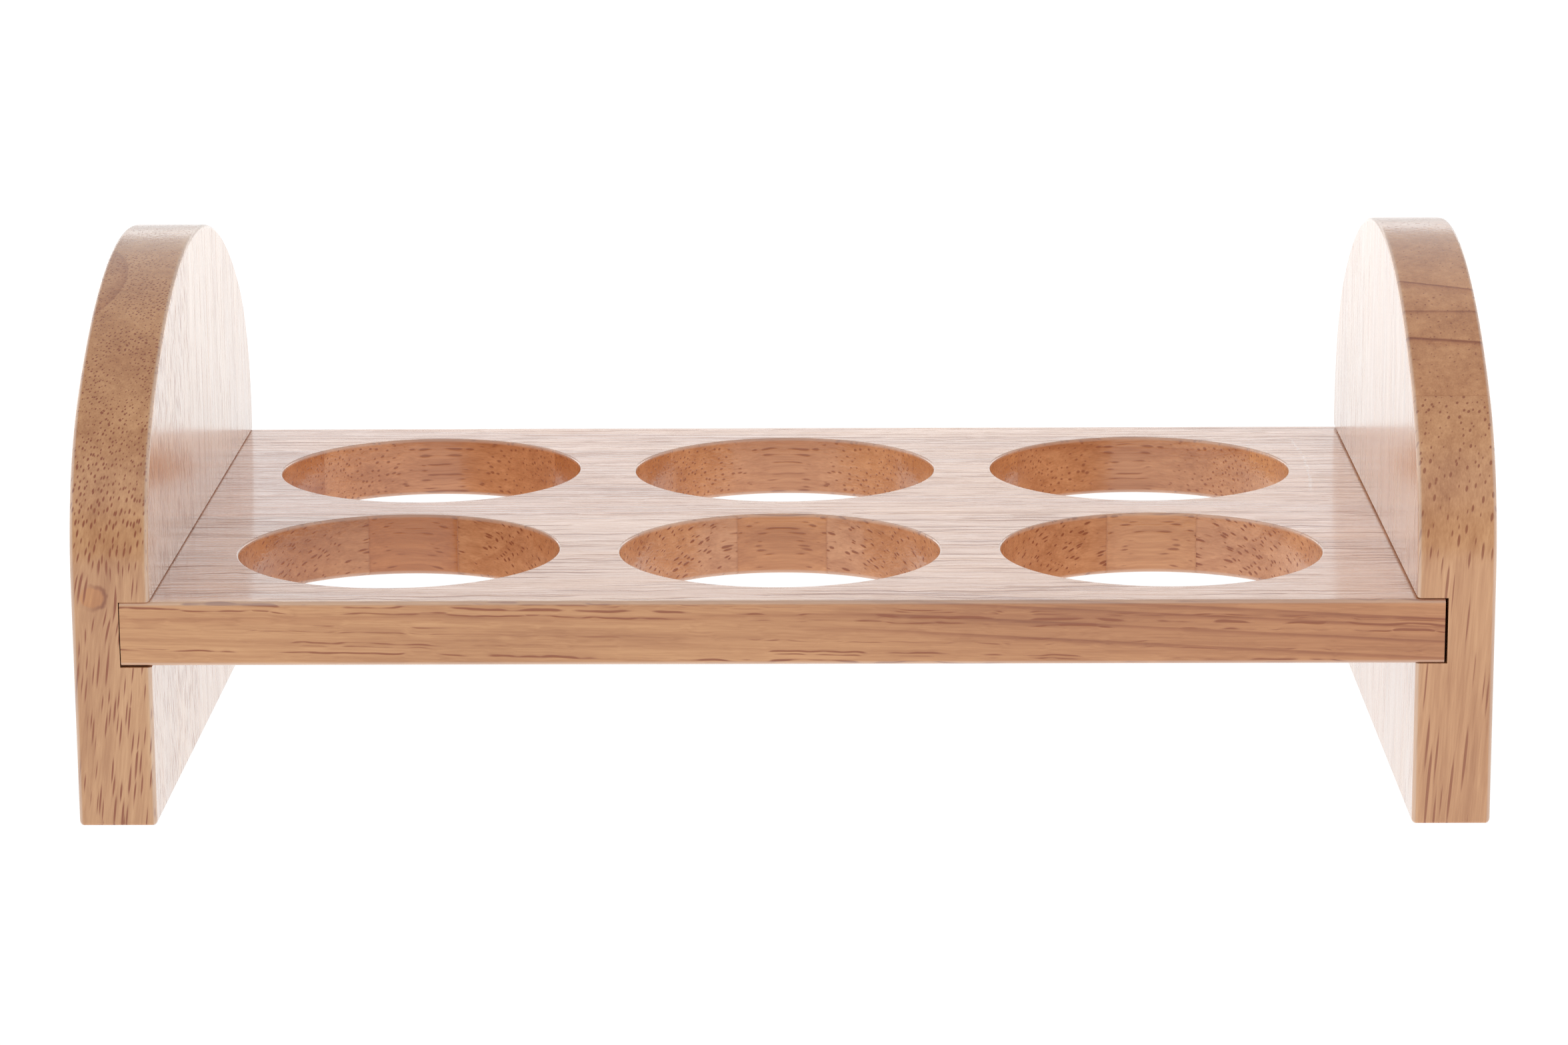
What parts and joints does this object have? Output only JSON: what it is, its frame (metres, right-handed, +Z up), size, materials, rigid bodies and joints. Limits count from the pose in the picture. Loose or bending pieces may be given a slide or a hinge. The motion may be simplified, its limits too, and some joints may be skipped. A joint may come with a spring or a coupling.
{
  "type": "test tube rack",
  "caption": "Low wooden rack: a shelf drilled with wide round holes, housed between two arched upright ends.",
  "frame": {"origin": "middle of the rack's footprint, on the surface that the two ends stand on", "axes": "+X along the rack from the left end to the right end, +Y from its front edge to its back edge, +Z up"},
  "size_m": [0.181, 0.1084, 0.0688],
  "materials": {
    "shelf_wood": "satin clear lacquer on a pale hardwood that looks like rubberwood, grain along the shelf",
    "end_wood": "satin clear lacquer on a pale hardwood that looks like rubberwood, grain upright"
  },
  "bodies": {
    "root": {"shelf_stave_front": "shelf_wood", "shelf_stave_middle": "shelf_wood", "shelf_stave_back": "shelf_wood", "left_end_stave_front": "end_wood", "left_end_stave_middle": "end_wood", "left_end_stave_back": "end_wood", "right_end_stave_front": "end_wood", "right_end_stave_middle": "end_wood", "right_end_stave_back": "end_wood"}
  },
  "joints": []
}
